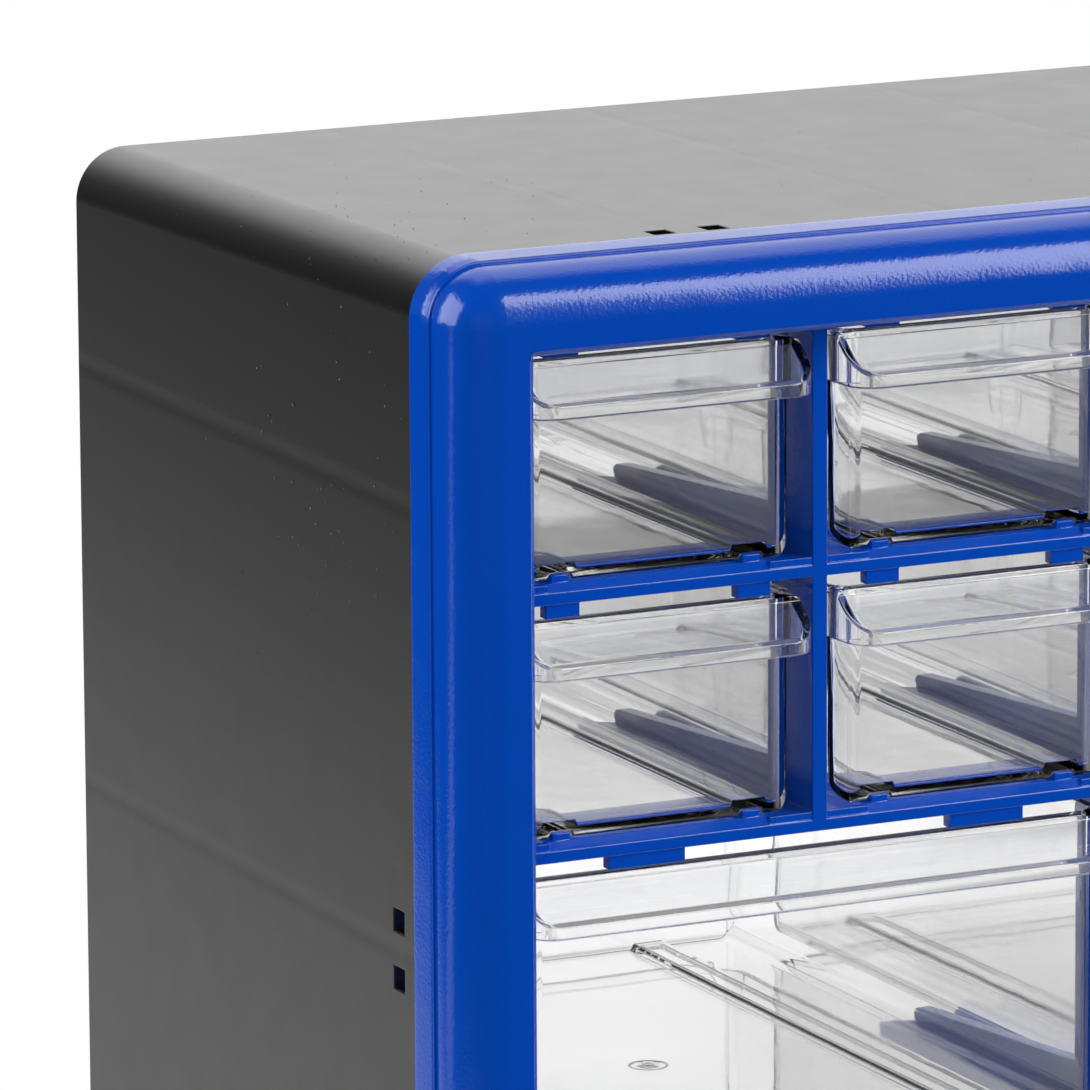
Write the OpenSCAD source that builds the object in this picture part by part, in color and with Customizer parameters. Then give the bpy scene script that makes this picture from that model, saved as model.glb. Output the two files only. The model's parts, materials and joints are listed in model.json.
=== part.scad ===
// Parts bin cabinet: a dark moulded case that is open at the back, a blue front
// frame with a recessed grid, and twelve clear drawers that slide in the grid.
// Millimetres. X runs to the right, Y from the front to the back, Z up. The
// origin is the middle of the underside.

/* [Cabinet] */
// Overall depth, from the frame's front face to the back of the case
cabinet_d = 158.7; // [150:0.1:190]
// Radius of the cabinet's outer corners, seen from the front
corner_r = 10; // [9.5:0.1:11]
// How far the frame's rim stands proud of the case
rim_proud = 0.8; // [0.4:0.1:1]
// Width and depth of the shadow groove where the case meets the rim
joint_groove = 0.5; // [0.3:0.1:0.8]
// Wall thickness of the case
case_wall = 2.2; // [1.8:0.1:2.4]
// Draft of the case walls towards the back, in degrees
case_draft = 1.1; // [0.5:0.1:1.4]

/* [Frame] */
// Width of the border round the drawer opening
border_w = 14.8; // [14.5:0.1:20]
// Depth of the border's rim, from its front plane back to the case
rim_back = 16; // [15.5:0.1:18]
// Length of the flat band along the rim
rim_band = 5.8; // [4.5:0.1:6]
// Height of each of the two steps between the rim band and the crowned face
rim_step = 0.5; // [0.3:0.1:0.6]
// Skin thickness of the frame
frame_skin = 2; // [1.6:0.1:2.2]
// Chamfer round the opening's front edge
opening_chamfer = 1; // [0.5:0.1:1.2]
// Radius of the opening's corners, where the chamfer meets the front face
opening_corner_r = 1.5; // [0.8:0.1:2.5]

/* [Grid] */
// Distance from one column of small drawers to the next
col_pitch = 58.5; // [56:0.5:70]
// Distance from one shelf to the next in the small rows
small_row = 42.8; // [38:0.1:55]
// Distance from one shelf to the next in the large rows
large_row = 59.6; // [50:0.1:75]
// How far the grid's front edges lie behind the frame's front plane
grid_recess = 9.7; // [9:0.1:10.5]
// Depth of the dividers and shelves
grid_d = 14.8; // [12:0.1:20]
// Thickness of the upright dividers
divider_t = 2.7; // [2:0.1:3]
// Thickness of the shelves, from their underside to the face the drawers rest on
shelf_t = 3.3; // [3:0.1:4]
// Height of the bevel along a shelf's upper front edge
shelf_bevel_h = 1.4; // [1:0.1:1.6]
// Depth of that bevel, from front to back
shelf_bevel_d = 1.5; // [0.8:0.1:1.5]
// How far the border overlaps the outer columns at each side
side_cover = 1; // [0.5:0.1:1.5]

/* [Guides] */
// Length of the drawer guides, from the grid's front edge to their rear ends
guide_len = 71.8; // [50:0.1:90]
// Width of the ledge that a drawer slides on, measured from the guide wall
ledge_w = 7.8; // [6.5:0.1:7.8]
// Thickness of the ledges
ledge_t = 2.6; // [2:0.1:3]
// Height of the guide wall above its ledge, where it leaves the divider
guide_h_front = 7; // [5:0.1:9]
// Height of the guide wall above its ledge at the rear end
guide_h_rear = 3.2; // [2:0.1:5]
// Width of the ribs on the shelves that run in the drawers' channels
rib_w = 3.1; // [2.6:0.1:3.2]
// Height of those ribs above the shelves
rib_h = 1.2; // [0.8:0.1:1.5]
// Drop of the stop tabs below the shelf above
tab_drop = 2.4; // [1.8:0.1:2.4]
// Thickness of the stop tabs
tab_t = 2.3; // [1.8:0.1:2.6]
// Width of a stop tab over a small drawer
small_tab_w = 6.1; // [4:0.1:8]
// Width of a stop tab over a large drawer
large_tab_w = 13.9; // [10:0.1:18]

/* [Drawers] */
// Gap between a drawer and the divider or wall at each side
drawer_side_gap = 2.1; // [1.5:0.1:2.4]
// Running clearance between a drawer and the ledges below it
run_gap = 0.25; // [0.2:0.05:0.4]
// Gap between a drawer's front edge and the shelf above
drawer_top_gap = 2.7; // [2.7:0.1:3.4]
// Length of the drawer body
drawer_len = 136; // [110:1:138]
// Wall thickness of the drawers
drawer_wall = 1.4; // [1.2:0.1:1.6]
// Draft of the drawers' walls, in degrees
drawer_draft = 0.8; // [0.4:0.1:1]
// How far a drawer's back wall stands above its side walls
back_rise = 1.6; // [1.4:0.1:1.9]
// Radius of the drawer's upright corners
drawer_corner_r = 5; // [4:0.1:6]
// Radius of the drawer's long bottom edges
drawer_bottom_r = 4; // [3:0.1:4.5]
// How far the grip stands out from the drawer's front wall
grip_out = 8.5; // [6:0.1:9]
// Height of the grip, from the drawer's top edge to its lower edge
grip_h = 8.5; // [7.5:0.1:10]
// Height of the upright band along the grip's lower edge
grip_band = 2.2; // [1.6:0.1:3]
// Distance of the floor channels from the middle of a small drawer
small_channel_x = 17.35; // [14:0.1:18]
// Distance of the floor channels from the middle of a large drawer
large_channel_x = 35.5; // [30:0.5:45]
// Diameter of the gate mark under a drawer's floor
gate_d = 6.5; // [5:0.1:8]
// Distance of the gate mark from the drawer's front
gate_y = 62; // [50:1:90]

/* [Latches] */
// Height of the latch windows in the case, along the case's edge
window_w = 3.7; // [3:0.1:4.5]
// Length of the latch windows, from front to back
window_d = 4; // [3.5:0.1:4.5]
// Distance between the two windows of a pair
window_pitch = 9.7; // [8:0.1:12]
// Distance of the pairs from the middle of the top and bottom walls
window_x = 75.7; // [60:0.1:90]
// Distance from the case's front edge to the middle of the windows
window_back = 7.6; // [6.5:0.1:9]
// How far the hooks reach into the windows
hook_catch = 0.8; // [0.6:0.1:1.4]

/* [Case ribs] */
// Distance of the inner pair of ribs from the middle of the top and bottom walls
rib_inner_x = 29.4; // [20:0.1:35]
// Distance of the outer pair of ribs from the middle of the top and bottom walls
rib_outer_x = 78.45; // [60:0.1:90]
// Distance of the upper and lower ribs from the middle of the side walls
rib_side_z = 74.5; // [60:0.1:80]
// Thickness of the ribs inside the case
case_rib_t = 1.6; // [1:0.1:2]
// Height of the ribs inside the case
case_rib_h = 3; // [2:0.1:3.5]

/* [Back] */
// Width of the flange round the open back
flange_w = 6; // [4:0.5:8]
// Radius of the corners of the open back
back_corner_r = 3; // [1:0.5:6]
// Height of the hanging rail across the top of the back
rail_h = 24; // [20:0.5:30]
// Distance of each keyhole from the middle of the rail
keyhole_x = 80; // [60:1:95]
// Diameter of the keyhole where the screw head goes in
keyhole_head_d = 9; // [8:0.1:10]
// Width of the keyhole's slot for the screw shank
keyhole_slot_w = 4.5; // [4:0.1:5]
// Diameter of the feet under the back of the case
foot_d = 16; // [12:1:20]
// Distance of the feet from the back of the case
foot_inset = 16; // [14:1:30]

/* [Hidden] */
$fn = 64;

case_colour = [0.17, 0.17, 0.17];
frame_colour = [0, 0.27, 0.75];
clear_colour = [0.86, 0.88, 0.92, 0.45];

// Four columns: a small drawer takes one of them and a large drawer takes two.
// The rows are counted from the top.
cols = 4;
row_pitch = [small_row, small_row, large_row, large_row];
row_span = [1, 1, 2, 2];
rows = len(row_pitch);

cells_w = cols * col_pitch - divider_t;
opening_w = cells_w - 2 * side_cover;
opening_h = 2 * small_row + 2 * large_row - shelf_t;
cabinet_w = opening_w + 2 * border_w;
cabinet_h = opening_h + 2 * border_w;
opening_top = cabinet_h - border_w;

grid_back = grid_recess + grid_d;
guide_back = grid_recess + guide_len;
ledge_step = 0.2;               // the ledges start this far behind the shelves' front
tab_step = 0.5;
ledge_front = grid_recess + ledge_step;
tab_front = grid_recess + tab_step;
drawer_front = grid_recess + shelf_bevel_d;

// The front frame's rim has two steps before the crowned face begins
crown_inset = 2 * rim_step;
tube_wall = frame_skin;
spigot_gap = 0.4;
spigot_t = 1.7;
spigot_inset = rim_proud + case_wall + spigot_gap;
spigot_front = 2 * frame_skin;
window_front = rim_back + window_back - window_d / 2;
spigot_back = window_front + window_d + 2;
hook_play = 0.6;
hook_ramp = 0.3;

case_land = 1;                  // undrafted land at the case's front and back edges
case_taper = (cabinet_d - rim_back) * tan(case_draft);
back_inset = rim_proud + case_taper;
rail_top = cabinet_h - back_inset;
rail_margin = 4;
keyhole_z = rail_top - rail_h + rail_margin + keyhole_head_d / 2;

// A channel in a drawer's floor clears the rib that runs in it
channel_play = 0.3;
channel_w = rib_w + 2 * channel_play;
channel_h = rib_h + channel_play - run_gap;
channel_side = 1.05;
channel_flare = 0.5;
channel_end = 4.2;

lip_out = 1.5;                  // flat lip above the slope of the grip
lip_h = 1;
lip_corner_r = 1.5;
band_extra = 0.7;               // the grip's lower band is thicker than its slope
front_edge_r = 1;
tab_outset = 4;                 // tabs over large drawers sit nearer the middle than the channels
gate_depth = 0.4;
gate_nub_d = 1.8;               // what is left of the gate in the middle of its mark

cut = 1;                        // overshoot of cuts
fuse = 0.5;                     // overlap of pieces that are moulded together

rest_gap = shelf_t + run_gap;
small_h = small_row - rest_gap - drawer_top_gap;
large_h = large_row - rest_gap - drawer_top_gap;
function drawer_w(span) = span * col_pitch - divider_t - 2 * drawer_side_gap;
function drawer_h(span) = span == 1 ? small_h : large_h;
function channel_x(span) = span == 1 ? small_channel_x : large_channel_x;
function tab_w(span) = span == 1 ? small_tab_w : large_tab_w;
function tab_x(span) = span == 1 ? small_channel_x : large_channel_x - tab_outset;
function cell_x(span, k) = (-cols / 2 + (k + 0.5) * span) * col_pitch;
function sum_to(v, n) = n <= 0 ? 0 : v[n - 1] + sum_to(v, n - 1);
function ceiling_z(r) = opening_top - sum_to(row_pitch, r);
function seat_z(r) = ceiling_z(r) - row_pitch[r] + shelf_t;
function arc(cx, cy, r, a0, a1, n) =
    [for (k = [0:n]) [cx + r * cos(a0 + (a1 - a0) * k / n), cy + r * sin(a0 + (a1 - a0) * k / n)]];

// ---- shapes that repeat ----

// The cabinet is drawn with its front plane at y = 0 and moved to its origin here
module seated() {
    translate([0, -cabinet_d / 2, 0]) children();
}

// An outline in X and Z, stretched from y0 to y1
module along_y(y0, y1) {
    translate([0, y1, 0]) rotate([90, 0, 0]) linear_extrude(height = y1 - y0) children();
}

// An outline in Y and Z, stretched from x0 to x1
module along_x(x0, x1) {
    translate([x0, 0, 0]) rotate([90, 0, 90]) linear_extrude(height = x1 - x0) children();
}

// An outline in X and Y, stretched from z0 to z1
module along_z(z0, z1) {
    translate([0, 0, z0]) linear_extrude(height = z1 - z0) children();
}

module swap_axes() {
    rotate(90) mirror([0, 1]) children();
}

module block(x0, x1, y0, y1, z0, z1) {
    translate([x0, y0, z0]) cube([x1 - x0, y1 - y0, z1 - z0]);
}

module rounded_rect(w, h, r) {
    square([w - 2 * r, h], center = true);
    square([w, h - 2 * r], center = true);
    for (x = [-1, 1], z = [-1, 1]) translate([x * (w / 2 - r), z * (h / 2 - r)]) circle(r);
}

// The cabinet's outline seen from the front, drawn in by inset all round
module front_outline(inset) {
    translate([0, cabinet_h / 2])
        rounded_rect(cabinet_w - 2 * inset, cabinet_h - 2 * inset, corner_r - inset);
}

// A strip whose two front corners are rounded
module crowned_strip(w, r, y0, y1) {
    translate([-w / 2, y0 + r]) square([w, y1 - y0 - r]);
    translate([-w / 2 + r, y0]) square([w - 2 * r, y1 - y0]);
    intersection() {
        for (x = [-1, 1]) translate([x * (w / 2 - r), y0 + r]) circle(r);
        translate([-w / 2, y0]) square([w, r]);
    }
}

// A slab with the cabinet's outline, whose front edges and corners are all rounded
module crowned_slab(inset, y0, y1) {
    w = cabinet_w - 2 * inset;
    h = cabinet_h - 2 * inset;
    r = corner_r - inset;
    translate([0, 0, cabinet_h / 2]) {
        along_z(-h / 2 + r, h / 2 - r) crowned_strip(w, r, y0, y1);
        along_x(-w / 2 + r, w / 2 - r) swap_axes() crowned_strip(h, r, y0, y1);
        for (x = [-1, 1], z = [-1, 1])
            translate([x * (w / 2 - r), y0, z * (h / 2 - r)]) rotate([-90, 0, 0]) rotate_extrude() {
                intersection() {
                    translate([0, r]) circle(r);
                    square(r);
                }
                translate([0, r]) square([r, y1 - y0 - r]);
            }
    }
}

// ---- case ----

// A slab of the case's outline from y0 to y1, drawn in by inset and by the draft at y
module case_slab(inset, y, y0, y1) {
    drawn = rim_proud + inset + (y - rim_back) * tan(case_draft);
    along_y(y0, y1) translate([0, cabinet_h / 2])
        rounded_rect(cabinet_w - 2 * drawn, cabinet_h - 2 * drawn, corner_r - rim_proud - inset);
}

// A drafted block between two depths
module case_block(inset, y0, y1) {
    hull() {
        case_slab(inset, y0, y0, y0 + case_land);
        case_slab(inset, y1, y1 - case_land, y1);
    }
}

// Latch windows in pairs: two pairs in the top and the bottom, and one in each side
module windows() {
    reach = rim_proud + case_wall + cut;
    for (s = [-1, 1], p = [-1, 1]) {
        x = s * window_x + p * window_pitch / 2;
        z = cabinet_h / 2 + p * window_pitch / 2;
        y1 = window_front + window_d;
        for (z0 = [0, cabinet_h - reach])
            block(x - window_w / 2, x + window_w / 2, window_front, y1, z0, z0 + reach);
        x0 = s * (cabinet_w - reach) / 2;
        block(x0 - reach / 2, x0 + reach / 2, window_front, y1, z - window_w / 2, z + window_w / 2);
    }
}

// Ribs along the inside of the walls, from behind the windows to the back
module case_ribs() {
    deep = back_inset + case_wall + case_rib_h;
    t = case_rib_t / 2;
    for (x = [-rib_outer_x, -rib_inner_x, rib_inner_x, rib_outer_x], z0 = [0, cabinet_h - deep])
        block(x - t, x + t, spigot_back + cut, cabinet_d, z0, z0 + deep);
    for (s = [-1, 1], z = [-rib_side_z, 0, rib_side_z]) {
        x0 = s * (cabinet_w - deep) / 2;
        block(x0 - deep / 2, x0 + deep / 2, spigot_back + cut, cabinet_d,
              cabinet_h / 2 + z - t, cabinet_h / 2 + z + t);
    }
}

// The groove round the case's front edge
module edge_groove() {
    difference() {
        along_y(rim_back - cut, rim_back + joint_groove) front_outline(0);
        along_y(rim_back - 2 * cut, rim_back + 2 * joint_groove) front_outline(rim_proud + joint_groove);
    }
}

module keyhole() {
    along_y(cabinet_d - case_wall - cut, cabinet_d + cut) translate([0, keyhole_z]) {
        circle(d = keyhole_head_d);
        translate([-keyhole_slot_w / 2, 0]) square([keyhole_slot_w, keyhole_head_d]);
        translate([0, keyhole_head_d]) circle(d = keyhole_slot_w);
    }
}

module case_shell() {
    back_w = cabinet_w - 2 * (back_inset + case_wall + flange_w);
    back_h = cabinet_h - 2 * (back_inset + case_wall + flange_w);
    color(case_colour) seated() difference() {
        union() {
            difference() {
                case_block(0, rim_back, cabinet_d);
                case_block(case_wall, rim_back - cut, cabinet_d - case_wall);
                translate([0, 0, cabinet_h / 2]) along_y(cabinet_d - case_wall - cut, cabinet_d + cut)
                    rounded_rect(back_w, back_h, back_corner_r);
            }
            intersection() {
                case_block(case_wall - fuse, rim_back, cabinet_d - fuse);
                difference() {
                    case_ribs();
                    case_block(case_wall + case_rib_h, rim_back, cabinet_d + cut);
                }
            }
            block(-back_w / 2 - fuse, back_w / 2 + fuse, cabinet_d - case_wall, cabinet_d,
                  rail_top - rail_h, rail_top - case_wall);
            // Feet that make up for the draft, so that the cabinet stands level
            for (s = [-1, 1]) translate([s * rib_outer_x, cabinet_d - foot_inset, 0])
                cylinder(d = foot_d, h = back_inset + fuse);
        }
        windows();
        edge_groove();
        for (s = [-1, 1]) translate([s * keyhole_x, 0, 0]) keyhole();
    }
}

// ---- front frame ----

module bevel_strip(half) {
    c = opening_chamfer;
    polygon([[-half - 2 * c, -c], [half + 2 * c, -c], [half, c], [-half, c]]);
}

// What the chamfer round the opening takes away: two wedged strips that cross, with
// their corners rounded off at the front
module opening_bevel() {
    c = opening_chamfer;
    translate([0, 0, cabinet_h / 2]) intersection() {
        along_z(-cabinet_h / 2, cabinet_h / 2) bevel_strip(opening_w / 2);
        along_x(-cabinet_w / 2, cabinet_w / 2) swap_axes() bevel_strip(opening_h / 2);
        along_y(-cut, rim_back) rounded_rect(opening_w + 2 * c, opening_h + 2 * c, opening_corner_r);
    }
}

// The crowned border, hollow from behind
module border() {
    difference() {
        union() {
            crowned_slab(crown_inset, 0, rim_back);
            along_y(rim_back - rim_band - rim_step, rim_back) front_outline(rim_step);
            along_y(rim_back - rim_band, rim_back) front_outline(0);
        }
        crowned_slab(crown_inset + frame_skin, frame_skin, rim_back + cut);
        translate([0, 0, cabinet_h / 2]) along_y(-cut, rim_back)
            square([opening_w, opening_h], center = true);
        opening_bevel();
    }
}

// A tube of four walls round the opening, w by h inside
module tube(w, h, y0, y1) {
    translate([0, 0, cabinet_h / 2]) difference() {
        along_y(y0, y1) square([w + 2 * tube_wall, h + 2 * tube_wall], center = true);
        along_y(y0 - cut, y1 + cut) square([w, h], center = true);
    }
}

// The ring behind the border that plugs into the case
module spigot() {
    difference() {
        along_y(spigot_front, spigot_back) front_outline(spigot_inset);
        along_y(0, spigot_back + cut) front_outline(spigot_inset + spigot_t);
    }
}

// A hook on the spigot: a ramp at the back and a catch at the front
module hook() {
    y0 = window_front + hook_play;
    y1 = window_front + window_d - hook_play;
    rise = spigot_gap + hook_catch;
    along_x(-window_w / 2 + hook_play / 2, window_w / 2 - hook_play / 2)
        polygon([[y0, -fuse], [y1, -fuse], [y1, hook_ramp], [y0 + hook_ramp, rise], [y0, rise]]);
}

module hooks() {
    for (s = [-1, 1], p = [-1, 1]) {
        x = s * window_x + p * window_pitch / 2;
        translate([x, 0, cabinet_h - spigot_inset]) hook();
        translate([x, 0, spigot_inset]) mirror([0, 0, 1]) hook();
        translate([s * (cabinet_w / 2 - spigot_inset), 0, cabinet_h / 2 + p * window_pitch / 2])
            rotate([0, s * 90, 0]) hook();
    }
}

// A guide: a low wall that carries on behind a divider, with a ledge at its foot on
// the left and the right. seat is the height that the drawers rest at.
module guide(x, thick, left, right, seat) {
    r = guide_h_rear / 2;
    translate([x, 0, 0]) {
        along_x(-thick / 2, thick / 2) polygon(concat(
            [[ledge_front, seat - ledge_t], [guide_back, seat - ledge_t]],
            arc(guide_back - r, seat + guide_h_rear - r, r, 0, 85, 6),
            [[grid_back, seat + guide_h_front], [ledge_front, seat + guide_h_front]]));
        block(-thick / 2 - left, thick / 2 + right, ledge_front, guide_back, seat - ledge_t, seat);
    }
}

// The lowest shelf has no bevel: its top carries on from the opening's lower wall
module shelf(seat, bevelled) {
    z0 = seat - shelf_t;
    front = bevelled
        ? [[grid_recess + shelf_bevel_d, seat], [grid_recess, seat - shelf_bevel_h]]
        : [[grid_recess, seat]];
    along_x(-cells_w / 2 - tube_wall / 2, cells_w / 2 + tube_wall / 2)
        polygon(concat([[grid_recess, z0], [grid_back, z0], [grid_back, seat]], front));
}

module grid_row(r) {
    span = row_span[r];
    n = cols / span;
    seat = seat_z(r);
    ceiling = ceiling_z(r);
    shelf(seat, r < rows - 1);
    for (k = [1:1:n - 1]) {
        x = cell_x(span, k) - span * col_pitch / 2;
        block(x - divider_t / 2, x + divider_t / 2, grid_recess, grid_back,
              seat - shelf_t / 2, ceiling + shelf_t / 2);
        guide(x, divider_t, ledge_w, ledge_w, seat);
    }
    guide(-cells_w / 2 - tube_wall / 2, tube_wall, 0, ledge_w, seat);
    guide(cells_w / 2 + tube_wall / 2, tube_wall, ledge_w, 0, seat);
    for (k = [0:n - 1], s = [-1, 1]) {
        x = cell_x(span, k);
        xr = x + s * channel_x(span);
        xt = x + s * tab_x(span);
        block(xr - rib_w / 2, xr + rib_w / 2, drawer_front, grid_back, seat - fuse, seat + rib_h);
        block(xt - tab_w(span) / 2, xt + tab_w(span) / 2, tab_front, tab_front + tab_t,
              ceiling - tab_drop, ceiling + fuse);
    }
}

module front_frame() {
    color(frame_colour) seated() {
        border();
        difference() {
            tube(opening_w, opening_h, frame_skin / 2, grid_recess);
            opening_bevel();
        }
        spigot();
        hooks();
    }
}

// The grid behind the border's opening: shelves, dividers, guides, ribs and stop tabs
module drawer_grid() {
    color(frame_colour) seated() {
        tube(cells_w, opening_h, grid_recess, grid_back);
        for (r = [0:rows - 1]) grid_row(r);
    }
}

// ---- drawers ----

// A tray's outline from the front: w wide at height h, with rounded bottom corners
module tray_front(w, h, r) {
    half = w / 2 - (h - r) * tan(drawer_draft);
    polygon(concat([[w / 2, h], [-w / 2, h]],
                   arc(-half + r, r, r, 180, 270, 8), arc(half - r, r, r, 270, 360, 8)));
}

// A tray's outline from the side: l long at height h, with an upright front
module tray_side(l, h, r) {
    back = l - (h - r) * tan(drawer_draft);
    polygon(concat([[l, h], [0, h]], arc(r, r, r, 180, 270, 4), arc(back - r, r, r, 270, 360, 4)));
}

// The solid where a tray's three outlines cross
module tray_block(w, l, h, corner, bottom, edge) {
    intersection() {
        along_z(0, h) translate([0, l / 2]) rounded_rect(w, l, corner);
        along_y(0, l) tray_front(w, h, bottom);
        along_x(-w / 2, w / 2) tray_side(l, h, edge);
    }
}

// The grip: a hood with a flat lip, a sloping face and an upright band below it,
// whose ends follow the drawer's rounded corners
module grip(w, h) {
    z0 = h - grip_h;
    intersection() {
        along_x(-w / 2, w / 2) polygon([
            [drawer_corner_r, h], [-lip_out, h], [-lip_out, h - lip_h],
            [-grip_out, z0 + grip_band], [-grip_out, z0], [drawer_corner_r, z0]]);
        along_z(z0, h) translate([0, grip_out]) rounded_rect(w, 4 * grip_out, drawer_corner_r);
        along_y(-grip_out, drawer_corner_r) translate([0, h - w / 2]) rounded_rect(w, w, lip_corner_r);
    }
}

// The hollow under the grip, where the fingers go
module grip_hollow(w, h) {
    t = drawer_wall;
    z0 = h - grip_h;
    slope = (grip_h - grip_band - lip_h) / (grip_out - lip_out);
    drop = t * sqrt(1 + slope * slope);
    top = h - lip_h + lip_out * slope - drop;
    band_in = -grip_out + t + band_extra;
    intersection() {
        along_x(-w / 2 + t, w / 2 - t)
            polygon([[0, top], [band_in, top + band_in * slope], [band_in, z0 - cut], [0, z0 - cut]]);
        along_z(z0 - cut, h) translate([0, grip_out + t])
            rounded_rect(w - 2 * t, 4 * grip_out, drawer_corner_r - t);
    }
}

// A run along the floor, wider at its foot, from y0 to y1
module floor_run(x, top_w, z1, y0, y1) {
    half = top_w / 2 + z1 * channel_flare;
    translate([x, 0, 0]) along_y(y0, y1)
        polygon([[-half, 0], [half, 0], [top_w / 2, z1], [-top_w / 2, z1]]);
}

// The round mark under a floor, where the plastic entered the mould
module gate_mark() {
    translate([0, gate_y, 0]) difference() {
        translate([0, 0, -cut]) cylinder(d = gate_d, h = gate_depth + cut);
        cylinder(d = gate_nub_d, h = gate_depth + cut);
    }
}

module drawer(span) {
    w = drawer_w(span);
    h = drawer_h(span);
    l = drawer_len;
    t = drawer_wall;
    difference() {
        union() {
            difference() {
                union() {
                    tray_block(w, l, h, drawer_corner_r, drawer_bottom_r, front_edge_r);
                    grip(w, h);
                    block(-w / 2 + drawer_corner_r, w / 2 - drawer_corner_r, l - t, l, h - fuse, h + back_rise);
                }
                translate([0, t, t]) tray_block(w - 2 * t, l - 2 * t, h + cut,
                                                drawer_corner_r - t, drawer_bottom_r - t, front_edge_r);
                grip_hollow(w, h);
            }
            intersection() {
                for (s = [-1, 1])
                    floor_run(s * channel_x(span), channel_w + 2 * channel_side, channel_h + t,
                              0, l - channel_end + channel_side);
                tray_block(w, l, h, drawer_corner_r, drawer_bottom_r, front_edge_r);
            }
        }
        for (s = [-1, 1])
            translate([0, 0, -cut]) floor_run(s * channel_x(span), channel_w, channel_h + cut, -cut, l - channel_end);
        gate_mark();
    }
}

module place_drawer(r, k) {
    color(clear_colour) seated() translate([cell_x(row_span[r], k), drawer_front, seat_z(r) + run_gap])
        drawer(row_span[r]);
}

case_shell();
front_frame();
drawer_grid();
place_drawer(0, 0);  // small_drawer_a1
place_drawer(0, 1);  // small_drawer_a2
place_drawer(0, 2);  // small_drawer_a3
place_drawer(0, 3);  // small_drawer_a4
place_drawer(1, 0);  // small_drawer_b1
place_drawer(1, 1);  // small_drawer_b2
place_drawer(1, 2);  // small_drawer_b3
place_drawer(1, 3);  // small_drawer_b4
place_drawer(2, 0);  // large_drawer_c1
place_drawer(2, 1);  // large_drawer_c2
place_drawer(3, 0);  // large_drawer_d1
place_drawer(3, 1);  // large_drawer_d2
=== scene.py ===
import json
import math

import bmesh
import bpy
from mathutils import Matrix, Vector

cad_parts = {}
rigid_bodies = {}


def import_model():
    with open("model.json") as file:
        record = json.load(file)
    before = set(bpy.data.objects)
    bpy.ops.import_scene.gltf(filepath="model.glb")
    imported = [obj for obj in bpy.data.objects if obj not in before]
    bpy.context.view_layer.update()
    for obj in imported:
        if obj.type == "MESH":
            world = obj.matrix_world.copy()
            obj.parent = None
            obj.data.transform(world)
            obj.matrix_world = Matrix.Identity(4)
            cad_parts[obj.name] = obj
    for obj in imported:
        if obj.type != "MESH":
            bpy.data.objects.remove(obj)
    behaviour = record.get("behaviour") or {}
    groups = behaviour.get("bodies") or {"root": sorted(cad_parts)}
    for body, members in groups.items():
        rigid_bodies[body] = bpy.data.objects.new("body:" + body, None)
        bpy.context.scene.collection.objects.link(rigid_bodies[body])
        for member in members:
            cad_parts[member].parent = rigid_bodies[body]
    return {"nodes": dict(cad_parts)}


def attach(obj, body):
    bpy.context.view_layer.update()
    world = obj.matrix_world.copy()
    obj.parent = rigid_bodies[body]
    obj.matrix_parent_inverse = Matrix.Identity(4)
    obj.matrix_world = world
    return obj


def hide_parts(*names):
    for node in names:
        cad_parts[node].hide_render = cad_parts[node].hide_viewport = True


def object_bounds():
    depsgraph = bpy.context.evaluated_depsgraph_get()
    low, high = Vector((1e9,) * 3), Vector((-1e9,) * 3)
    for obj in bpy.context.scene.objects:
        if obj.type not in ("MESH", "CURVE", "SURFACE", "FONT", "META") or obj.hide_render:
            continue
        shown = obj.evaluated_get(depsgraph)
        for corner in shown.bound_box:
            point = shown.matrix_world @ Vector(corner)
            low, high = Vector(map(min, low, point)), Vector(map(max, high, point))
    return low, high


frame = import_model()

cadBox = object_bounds()
print("frame loaded with", len(frame["nodes"]), "nodes")

mm = 0.001
scene = bpy.context.scene
scene.view_settings.view_transform = "Standard"
photoSide = 1090  # the photograph is a square of this many pixels
scene.cycles.max_bounces = 32  # light crosses the walls of several clear drawers in a row
scene.cycles.transmission_bounces = 32
scene.cycles.glossy_bounces = 12


def colour(hexText):
    def linear(c):
        return c / 12.92 if c <= 0.04045 else ((c + 0.055) / 1.055) ** 2.4
    return [linear(int(hexText[i:i + 2], 16) / 255) for i in (1, 3, 5)] + [1.0]


def addNode(tree, kind, inputs=None, **settings):
    made = tree.nodes.new(kind)
    for name, value in settings.items():
        setattr(made, name, value)
    for key, value in (inputs or {}).items():
        if isinstance(value, bpy.types.NodeSocket):
            tree.links.new(value, made.inputs[key])
        else:
            made.inputs[key].default_value = value
    return made


def newMaterial(name):
    material = bpy.data.materials.new(name)
    material.use_nodes = True
    material.node_tree.nodes.clear()
    return material, material.node_tree


cameraLook = {
    "place": (-0.73944, -1.35880, 0.48488),  # metres
    "yaw": 26.078,           # degrees, turned to the right of straight on
    "pitch": 11.856,         # degrees, looking down
    "roll": -0.304,
    "focalPixels": 9122.8,   # focal length, in the photograph's pixels
    "sensor": 36.0,
}


def makeCamera(look):
    yaw, pitch, roll = (math.radians(look[k]) for k in ("yaw", "pitch", "roll"))
    forward = Vector((math.sin(yaw) * math.cos(pitch), math.cos(yaw) * math.cos(pitch), -math.sin(pitch)))
    side = Vector((math.cos(yaw), -math.sin(yaw), 0))
    up = side.cross(forward)
    right = side * math.cos(roll) + up * math.sin(roll)
    top = up * math.cos(roll) - side * math.sin(roll)
    turn = Matrix((right, top, -forward)).transposed().to_4x4()
    data = bpy.data.cameras.new("photoCamera")
    data.sensor_width = look["sensor"]
    data.lens = look["sensor"] * look["focalPixels"] / photoSide
    camera = bpy.data.objects.new("photoCamera", data)
    camera.matrix_world = Matrix.Translation(look["place"]) @ turn
    scene.collection.objects.link(camera)
    scene.camera = camera


makeCamera(cameraLook)
print("camera placed")


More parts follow.
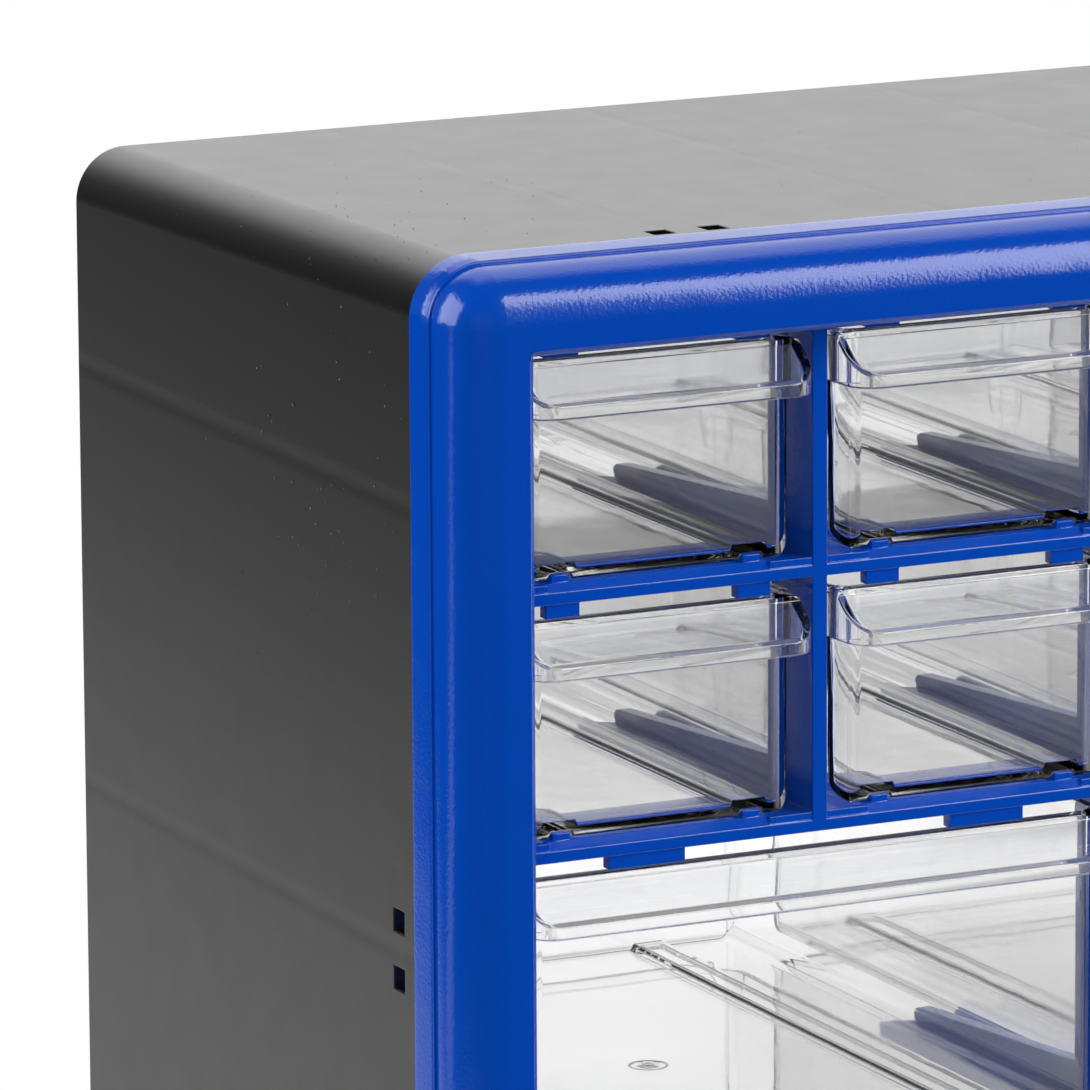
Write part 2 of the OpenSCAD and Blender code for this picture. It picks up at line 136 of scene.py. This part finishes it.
studio = {  # lengths in metres
    "floorSize": 8.0,
    "floorAlbedo": 0.45,
    "floorGlow": 0.86,            # with the lit floor this comes to just over white for the camera
    "bounceAlbedo": 0.75,         # the floor, as it throws light back on the cabinet
    "skyLight": 0.3,
    "skyMirror": 1.6,             # the pale wall behind the cabinet, as glossy plastic mirrors it
    "skyReach": (0.0, 0.35),      # it goes from dark to pale as the direction turns to the back
    "skySide": (-0.28, 0.06),     # and as it turns to the right
    "roomDark": 0.03,
    "tableSide": (-0.52, -0.26),  # the mirrored table is dark to the left of this stretch
    "tableFront": (-0.35, -0.10),  # and in front of this one
    "sheenStreakPlace": 0.10,          # painted sheen: a pale streak where a lamp's shine lies across the dark part of the table, seen only in reflections
    "sheenStreakEdge": (0.10, 0.03),
    "sheenStreakReach": (-0.36, -0.46),
    "glowPatchSide": (0.30, 0.50),     # painted light: a glowing patch on the table to the right, seen only in reflections, for light lines on edges
    "glowPatchFront": (-0.62, -0.50),
    "glowPatchLevel": 2.5,
    "roomThrough": (0.62, 1.1),   # the table, as seen through the clear drawers: pale, with soft grey patches of painted shade
    "shadePatchSize": 0.35,
    "shadePatchEdge": (0.38, 0.56),
    "leftThroughShade": 0.12,          # painted shade: darker on the left, where the drawers' side walls mirror it
    "skyThrough": 0.95,
}

softboxes = {  # size and distance in metres, and the direction that each stands in from the cabinet's corner
    "leftSoftbox": {"toward": (-0.87, 0.30, 0.35), "distance": 1.3, "size": (1.15, 1.0), "watts": 17,
                    "mirrored": True},
    "frontSoftbox": {"toward": (0.63, -0.65, 0.43), "distance": 1.6, "size": (0.7, 1.36), "watts": 21,
                     "mirrored": True},
    "frontFill": {"toward": (-0.5, -0.83, 0.2), "distance": 1.6, "size": (1.2, 1.0), "watts": 6,
                  "mirrored": False},
}
frameCorner = (-0.12, -0.07, 0.22)


def maths(tree, operation, first, second):
    return addNode(tree, "ShaderNodeMath", {0: first, 1: second}, operation=operation).outputs[0]


def rayKinds(tree):  # what the camera sees, what shows through a clear piece, and what a glossy piece mirrors
    path = addNode(tree, "ShaderNodeLightPath").outputs
    through = maths(tree, "MINIMUM", path["Transmission Depth"], 1.0)
    mirrored = maths(tree, "MULTIPLY", path["Is Glossy Ray"], maths(tree, "SUBTRACT", 1.0, through))
    return path["Is Camera Ray"], through, mirrored


def ramp(tree, value, reach, low=0.0, high=1.0):
    return addNode(tree, "ShaderNodeMapRange", {"Value": value, "From Min": reach[0], "From Max": reach[1],
                   "To Min": low, "To Max": high}, interpolation_type="SMOOTHSTEP").outputs[0]


def magnitude(tree, value):
    return maths(tree, "ABSOLUTE", value, 0)


def either(tree, choice, no, yes):
    return addNode(tree, "ShaderNodeMix", {0: choice, 2: no, 3: yes}).outputs[0]


def makeFloor(look):
    mesh = bpy.data.meshes.new("floor")
    half = look["floorSize"] / 2
    mesh.from_pydata([(-half, -half, 0), (half, -half, 0), (half, half, 0), (-half, half, 0)], [], [(0, 1, 2, 3)])
    floor = bpy.data.objects.new("floor", mesh)
    scene.collection.objects.link(floor)
    material, tree = newMaterial("paleTable")
    seen, through, mirrored = rayKinds(tree)
    spot = addNode(tree, "ShaderNodeTexCoord").outputs["Object"]
    place = addNode(tree, "ShaderNodeSeparateXYZ", {0: spot}).outputs
    table = maths(tree, "MULTIPLY", ramp(tree, place["X"], look["tableSide"]),
                  ramp(tree, place["Y"], look["tableFront"]))
    # painted sheen of a lamp on the table, seen only in reflections
    aside = magnitude(tree, maths(tree, "SUBTRACT", place["Y"], look["sheenStreakPlace"]))
    sheenStreak = maths(tree, "MULTIPLY", ramp(tree, aside, look["sheenStreakEdge"]),
                   ramp(tree, place["X"], look["sheenStreakReach"]))
    # painted light: a glowing patch on the table, seen only in reflections, that paints light lines on edges
    glowPatch = maths(tree, "MULTIPLY", ramp(tree, place["X"], look["glowPatchSide"], 0.0, look["glowPatchLevel"]),
                 ramp(tree, place["Y"], look["glowPatchFront"]))
    # painted shade: soft grey patches in the table as seen through the clear drawers, darker on the left
    shadePatches = addNode(tree, "ShaderNodeTexNoise", {"Vector": spot, "Scale": 1 / look["shadePatchSize"],
                      "Detail": 1.0}).outputs["Fac"]
    room = maths(tree, "MULTIPLY", ramp(tree, shadePatches, look["shadePatchEdge"], *look["roomThrough"]),
                 ramp(tree, place["X"], look["tableSide"], look["leftThroughShade"], 1.0))
    glow = either(tree, through, maths(tree, "MAXIMUM", glowPatch, maths(tree, "MAXIMUM", table, sheenStreak)), room)
    white = (1, 1, 1, 1)
    sheen = addNode(tree, "ShaderNodeEmission", {"Color": white, "Strength": glow})
    lit = addNode(tree, "ShaderNodeBsdfDiffuse", {"Color": (look["floorAlbedo"],) * 3 + (1,)})
    lift = addNode(tree, "ShaderNodeEmission", {"Color": white, "Strength": look["floorGlow"]})
    backdrop = addNode(tree, "ShaderNodeAddShader", {0: lit.outputs[0], 1: lift.outputs[0]})
    bare = addNode(tree, "ShaderNodeBsdfDiffuse", {"Color": (look["bounceAlbedo"],) * 3 + (1,)})
    shown = addNode(tree, "ShaderNodeMixShader", {0: seen, 1: bare.outputs[0], 2: backdrop.outputs[0]})
    last = addNode(tree, "ShaderNodeMixShader", {0: maths(tree, "MAXIMUM", mirrored, through),
                   1: shown.outputs[0], 2: sheen.outputs[0]})
    addNode(tree, "ShaderNodeOutputMaterial", {"Surface": last.outputs[0]})
    mesh.materials.append(material)


def makeWorld(look):
    world = bpy.data.worlds.new("studio")
    world.use_nodes = True
    tree = world.node_tree
    tree.nodes.clear()
    seen, through, mirrored = rayKinds(tree)
    toward = addNode(tree, "ShaderNodeSeparateXYZ",
                     {0: addNode(tree, "ShaderNodeTexCoord").outputs["Generated"]}).outputs
    wall = maths(tree, "MULTIPLY", ramp(tree, toward["Y"], look["skyReach"], look["roomDark"], look["skyMirror"]),
                 ramp(tree, toward["X"], look["skySide"], look["roomDark"], 1.0))
    level = either(tree, mirrored, look["skyLight"], wall)
    # painted shade: what shows through the clear drawers is darker on the left
    level = either(tree, through, level, ramp(tree, toward["X"], look["skySide"],
                   look["leftThroughShade"], look["skyThrough"]))
    level = either(tree, seen, level, 1.0)
    sky = addNode(tree, "ShaderNodeBackground", {"Color": (1, 1, 1, 1), "Strength": level})
    addNode(tree, "ShaderNodeOutputWorld", {"Surface": sky.outputs[0]})
    scene.world = world


def makeSoftbox(name, look, aim):
    data = bpy.data.lights.new(name, "AREA")
    data.shape = "RECTANGLE"
    data.size, data.size_y = look["size"]
    data.energy = look["watts"]
    lamp = bpy.data.objects.new(name, data)
    away = Vector(look["toward"]).normalized()
    lamp.location = Vector(aim) + away * look["distance"]
    lamp.rotation_mode = "QUATERNION"
    lamp.rotation_quaternion = away.to_track_quat("Z", "Y")
    lamp.visible_camera = False
    lamp.visible_transmission = False
    lamp.visible_glossy = look["mirrored"]
    scene.collection.objects.link(lamp)
    return lamp


makeFloor(studio)
makeWorld(studio)
lamps = {name: makeSoftbox(name, look, frameCorner) for name, look in softboxes.items()}
print("studio ready")


mouldedBlack = {  # black ABS from a spark-eroded mould: a fine grain and a soft, slightly warm sheen
    "base": "#1b1a18",
    "ior": 1.52,
    "roughness": (0.318, 0.342),
    "mottle": 9.0,       # mm, the sheen's unevenness
    "mottleEdge": (0.3, 0.7),
    "grain": 0.45,       # mm, spark texture, coarser than real so that it shows
    "grainDeep": 0.05,   # mm
    "grainStrength": 0.35,
    "sinkTop": (29.4, 78.45),   # mm from the middle, soft sink lines in the top over the ribs inside
    "sinkSide": (0.0, 74.5),    # mm from half height, and in the sides
    "sinkWide": 2.6,
    "sinkDeep": 0.04,
}

mouldedBlue = {  # blue polypropylene from a polished mould: saturated, with orange peel in the highlights
    "base": "#0044b0",
    "ior": 1.49,
    "roughness": 0.15,
    "dents": 13.0,       # mm, shallow unevenness where the skin shrank over the walls behind it
    "dentsDeep": 0.16,
    "peel": 0.6,         # mm, orange peel
    "peelDeep": 0.06,
    "peelStrength": 0.5,
}

clearStyrene = {  # clear polystyrene, moulded and polished: glassy, faintly wavy and a little smudged
    "tint": "#fcfcfc",
    "ior": 1.59,
    "roughness": (0.01, 0.06),   # from clean to smudged
    "smudges": 22.0,     # mm
    "smudgeEdge": (0.45, 0.75),
    "waves": 14.0,       # mm
    "wavesDeep": 0.3,
    "wavesStrength": 0.1,
    "shade": (0.93, 0.93, 0.94, 1),   # light that each wall lets through to what lies behind it
}


def perMetre(millimetres):
    return 1 / (millimetres * mm)


def noise(tree, place, millimetres, **inputs):
    inputs.update({"Vector": place, "Scale": perMetre(millimetres)})
    return addNode(tree, "ShaderNodeTexNoise", inputs).outputs["Fac"]


def blackPlastic(look):
    material, tree = newMaterial("mouldedBlackAbs")
    place = addNode(tree, "ShaderNodeTexCoord").outputs["Object"]
    grain = noise(tree, place, look["grain"], Detail=2.0, Roughness=0.6)
    mottle = noise(tree, place, look["mottle"], Detail=3.0)
    rough = addNode(tree, "ShaderNodeMapRange", {"Value": mottle, "From Min": look["mottleEdge"][0],
                    "From Max": look["mottleEdge"][1], "To Min": look["roughness"][0],
                    "To Max": look["roughness"][1]}).outputs[0]
    across = addNode(tree, "ShaderNodeSeparateXYZ", {0: place}).outputs
    halfHeight = (cadBox[0][2] + cadBox[1][2]) / 2
    fromMiddle = {"sinkTop": across["X"], "sinkSide": maths(tree, "SUBTRACT", across["Z"], halfHeight)}
    nearest = 1.0
    for key, offset in fromMiddle.items():
        for rib in look[key]:
            away = maths(tree, "SUBTRACT", magnitude(tree, offset), rib * mm)
            nearest = maths(tree, "MINIMUM", nearest, magnitude(tree, away))
    sunk = addNode(tree, "ShaderNodeBump", {"Strength": 1.0, "Distance": look["sinkDeep"] * mm,
                   "Height": ramp(tree, nearest, (0, look["sinkWide"] * mm))})
    bump = addNode(tree, "ShaderNodeBump", {"Strength": look["grainStrength"], "Distance": look["grainDeep"] * mm,
                   "Height": grain, "Normal": sunk.outputs[0]})
    skin = addNode(tree, "ShaderNodeBsdfPrincipled", {"Base Color": colour(look["base"]), "Roughness": rough,
                   "IOR": look["ior"], "Normal": bump.outputs[0]})
    addNode(tree, "ShaderNodeOutputMaterial", {"Surface": skin.outputs[0]})
    return material


def bluePlastic(look):
    material, tree = newMaterial("mouldedBluePolypropylene")
    place = addNode(tree, "ShaderNodeTexCoord").outputs["Object"]
    peel = noise(tree, place, look["peel"], Detail=1.0)
    dents = noise(tree, place, look["dents"], Detail=1.0)
    wavy = addNode(tree, "ShaderNodeBump", {"Strength": 1.0, "Distance": look["dentsDeep"] * mm, "Height": dents})
    bump = addNode(tree, "ShaderNodeBump", {"Strength": look["peelStrength"], "Distance": look["peelDeep"] * mm,
                   "Height": peel, "Normal": wavy.outputs[0]})
    skin = addNode(tree, "ShaderNodeBsdfPrincipled", {"Base Color": colour(look["base"]),
                   "Roughness": look["roughness"], "IOR": look["ior"], "Normal": bump.outputs[0]})
    addNode(tree, "ShaderNodeOutputMaterial", {"Surface": skin.outputs[0]})
    return material


def clearPlastic(look):
    material, tree = newMaterial("clearPolystyrene")
    place = addNode(tree, "ShaderNodeTexCoord").outputs["Object"]
    waves = noise(tree, place, look["waves"], Detail=1.0)
    smudges = noise(tree, place, look["smudges"], Detail=4.0)
    bump = addNode(tree, "ShaderNodeBump", {"Strength": look["wavesStrength"], "Distance": look["wavesDeep"] * mm,
                   "Height": waves})
    solid = addNode(tree, "ShaderNodeBsdfPrincipled", {"Base Color": colour(look["tint"]),
                    "Roughness": ramp(tree, smudges, look["smudgeEdge"], *look["roughness"]),
                    "IOR": look["ior"], "Transmission Weight": 1.0, "Normal": bump.outputs[0]})
    through = addNode(tree, "ShaderNodeBsdfTransparent", {"Color": look["shade"]})
    path = addNode(tree, "ShaderNodeLightPath")
    last = addNode(tree, "ShaderNodeMixShader", {0: path.outputs["Is Shadow Ray"],
                   1: solid.outputs[0], 2: through.outputs[0]})
    addNode(tree, "ShaderNodeOutputMaterial", {"Surface": last.outputs[0]})
    return material


blackAbs = blackPlastic(mouldedBlack)
bluePolypropylene = bluePlastic(mouldedBlue)
clearPolystyrene = clearPlastic(clearStyrene)
print("materials made")


# the pieces: each moulded part again, with the soft edges that a mould gives it
weld = 0.002 * mm
sharpAngle = math.radians(32)


def plainMesh(piece):
    graph = bpy.context.evaluated_depsgraph_get()
    made = bpy.data.meshes.new_from_object(piece.evaluated_get(graph))
    piece.modifiers.clear()
    piece.data = made


def rimInset(look, point):  # how far a point lies inside the rim's outline, and the way outwards
    half = Vector((cadBox[1][0], 0, (cadBox[1][2] - cadBox[0][2]) / 2))
    corner = look["corner"] * mm
    out = Vector((point.x, 0, point.z - half.z))
    past = Vector((max(abs(out.x) - half.x + corner, 0), 0, max(abs(out.z) - half.z + corner, 0)))
    way = Vector((math.copysign(past.x, out.x), 0, math.copysign(past.z, out.z)))
    return corner - past.length, way.normalized()


def roundRim(work, look):
    back, front = (cadBox[0][1] + depth * mm for depth in look["band"])
    for step in range(1, look["steps"]):
        level = back + (front - back) * step / look["steps"]
        bmesh.ops.bisect_plane(work, geom=work.verts[:] + work.edges[:] + work.faces[:], dist=1e-7,
                               plane_co=(0, level, 0), plane_no=(0, 1, 0))
    for vert in work.verts:
        inset, way = rimInset(look, vert.co)
        share = (vert.co.y - back) / (front - back)
        if abs(inset) < look["skin"] * mm and -0.01 < share < 1.01:
            vert.co -= way * look["drop"] * mm * max(share, 0) ** look["curve"]


def softened(node, name, look, material):
    mesh = frame["nodes"][node].data.copy()
    work = bmesh.new()
    work.from_mesh(mesh)
    bmesh.ops.remove_doubles(work, verts=work.verts, dist=weld)
    if "band" in look:
        roundRim(work, look)
    weight = work.edges.layers.float.new("bevel_weight_edge")
    for edge in work.edges:
        if len(edge.link_faces) == 2 and edge.calc_face_angle() > sharpAngle:
            edge[weight] = 1.0
    work.to_mesh(mesh)
    work.free()
    mesh.materials.clear()
    mesh.materials.append(material)
    mesh.shade_smooth()
    piece = bpy.data.objects.new(name, mesh)
    scene.collection.objects.link(piece)
    rounding = piece.modifiers.new("edges", "BEVEL")
    rounding.width = look["edge"] * mm
    rounding.segments = 2
    rounding.limit_method = "WEIGHT"
    rounding.use_clamp_overlap = False
    rounding.loop_slide = False
    weigh = piece.modifiers.new("normals", "WEIGHTED_NORMAL")
    weigh.keep_sharp = True
    plainMesh(piece)
    return piece


caseShell = {"edge": 0.3}    # mm, how soft the mould leaves the edges
frontBorder = {              # mm
    "edge": 0.15,
    "corner": 10.0,          # the outline's corner radius
    "band": (15.95, 10.25),  # the rim's band, from back to front
    "steps": 7,
    "skin": 0.02,
    "drop": 0.49,            # how far the band rounds off by its front edge
    "curve": 1.2,
}
drawerGrid = {"edge": 0.15}
clearDrawer = {"edge": 0.22}

casePiece = softened("case_shell", "mouldedCase", caseShell, blackAbs)
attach(casePiece, "cabinet")
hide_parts("case_shell")

for node, name, look in (("front_frame", "mouldedBorder", frontBorder),
                         ("drawer_grid", "mouldedGrid", drawerGrid)):
    bluePiece = softened(node, name, look, bluePolypropylene)
    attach(bluePiece, "cabinet")
    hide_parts(node)

for node in frame["nodes"]:
    if node.startswith(("small_drawer", "large_drawer")):
        drawerPiece = softened(node, "clear_" + node, clearDrawer, clearPolystyrene)
        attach(drawerPiece, node)
        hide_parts(node)


dustSpecks = {  # pale household dust and lint: matt, tiny, a little longer than wide
    "middle": (-0.128, -0.022, 0.196),   # thickest high on the left side, towards the front
    "spread": 0.075,
    "perSquareMetre": 26000.0,
    "thinnest": 0.03,                    # share of that, everywhere else
    "radius": (0.06, 0.2),               # mm
    "stretch": 1.9,
    "outerWall": 0.1,                    # metres: walls that face outwards this far from the cabinet's heart
    "seed": 7,
    "colours": ("#6d6a64", "#b9b6ae"),
    "shade": 1.5,                        # mm
    "shadeEdge": (0.35, 0.65),
    "roughness": 0.95,
}


def dustTree(look):
    tree = bpy.data.node_groups.new("dustOnSkin", "GeometryNodeTree")
    sockets = {}
    for name, kind in (("skin", "NodeSocketGeometry"), ("middle", "NodeSocketVector"),
                       ("spread", "NodeSocketFloat"), ("perSquareMetre", "NodeSocketFloat"),
                       ("thinnest", "NodeSocketFloat"), ("smallest", "NodeSocketFloat"),
                       ("largest", "NodeSocketFloat"), ("stretch", "NodeSocketFloat"),
                       ("outerWall", "NodeSocketFloat"), ("seed", "NodeSocketInt"), ("dust", "NodeSocketMaterial")):
        sockets[name] = tree.interface.new_socket(name=name, in_out="INPUT", socket_type=kind).identifier
    tree.interface.new_socket(name="specks", in_out="OUTPUT", socket_type="NodeSocketGeometry")
    given = addNode(tree, "NodeGroupInput").outputs
    spread = addNode(tree, "GeometryNodeDistributePointsOnFaces", {"Mesh": given["skin"],
                     "Density": given["perSquareMetre"], "Seed": given["seed"]}).outputs
    point = addNode(tree, "GeometryNodeInputPosition").outputs[0]
    heart = (0, 0, (cadBox[0][2] + cadBox[1][2]) / 2)
    fromHeart = addNode(tree, "ShaderNodeVectorMath", {0: point, 1: heart}, operation="SUBTRACT").outputs[0]
    outward = addNode(tree, "ShaderNodeVectorMath", {0: fromHeart, 1: spread["Normal"]},
                      operation="DOT_PRODUCT").outputs["Value"]
    inside = maths(tree, "LESS_THAN", outward, given["outerWall"])  # dust lies on the outer skin only
    away = addNode(tree, "ShaderNodeVectorMath", {0: point, 1: given["middle"]},
                   operation="DISTANCE").outputs["Value"]
    thick = addNode(tree, "ShaderNodeMapRange", {"Value": away, "From Min": 0.0, "From Max": given["spread"],
                    "To Min": 1.0, "To Max": given["thinnest"]}, interpolation_type="SMOOTHSTEP").outputs[0]
    chance = addNode(tree, "FunctionNodeRandomValue", {"Seed": given["seed"]}, data_type="FLOAT").outputs[1]
    clean = maths(tree, "MAXIMUM", inside, maths(tree, "GREATER_THAN", chance, thick))
    points = addNode(tree, "GeometryNodeDeleteGeometry", {"Geometry": spread["Points"], "Selection": clean},
                     domain="POINT").outputs[0]
    speck = addNode(tree, "GeometryNodeMeshIcoSphere", {"Radius": 1.0, "Subdivisions": 1}).outputs[0]
    wide = addNode(tree, "FunctionNodeRandomValue", {2: given["smallest"], 3: given["largest"],
                   "Seed": given["seed"]}, data_type="FLOAT").outputs[1]
    long = maths(tree, "MULTIPLY", wide, given["stretch"])
    shape = addNode(tree, "ShaderNodeCombineXYZ", {0: long, 1: wide, 2: wide}).outputs[0]
    turn = addNode(tree, "FunctionNodeRandomValue", {0: (0, 0, 0), 1: (3, 3, 3), "Seed": given["seed"]},
                   data_type="FLOAT_VECTOR").outputs[0]
    laid = addNode(tree, "GeometryNodeInstanceOnPoints", {"Points": points, "Instance": speck, "Scale": shape,
                   "Rotation": turn}).outputs[0]
    plain = addNode(tree, "GeometryNodeRealizeInstances", {0: laid}).outputs[0]
    dressed = addNode(tree, "GeometryNodeSetMaterial", {"Geometry": plain, "Material": given["dust"]}).outputs[0]
    addNode(tree, "NodeGroupOutput", {0: dressed})
    return tree, sockets


def scatterDust(look):
    material, tree = newMaterial("paleDust")
    place = addNode(tree, "ShaderNodeTexCoord").outputs["Object"]
    dark, pale = (colour(text) for text in look["colours"])
    shade = ramp(tree, noise(tree, place, look["shade"]), look["shadeEdge"])
    tone = addNode(tree, "ShaderNodeMix", {0: shade, 6: dark, 7: pale}, data_type="RGBA").outputs[2]
    fluff = addNode(tree, "ShaderNodeBsdfPrincipled", {"Base Color": tone, "Roughness": look["roughness"]})
    addNode(tree, "ShaderNodeOutputMaterial", {"Surface": fluff.outputs[0]})
    specks = bpy.data.objects.new("dustSpecks", casePiece.data)
    scene.collection.objects.link(specks)
    nodes, sockets = dustTree(look)
    scatter = specks.modifiers.new("scatter", "NODES")
    scatter.node_group = nodes
    for name in ("middle", "spread", "perSquareMetre", "thinnest", "stretch", "outerWall", "seed"):
        scatter[sockets[name]] = look[name]
    scatter[sockets["smallest"]], scatter[sockets["largest"]] = (r * mm for r in look["radius"])
    scatter[sockets["dust"]] = material
    plainMesh(specks)
    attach(specks, "cabinet")
    print("dust scattered in", len(specks.data.polygons), "faces")


scatterDust(dustSpecks)

litPieces = bpy.data.collections.new("litPieces")  # the mirrored softboxes leave the black case in its dark room
for piece in scene.objects:
    if piece.name.startswith(("moulded", "clear")) and piece != casePiece:
        litPieces.objects.link(piece)
for name, look in softboxes.items():
    if look["mirrored"]:
        lamps[name].light_linking.receiver_collection = litPieces
print("pieces dressed")
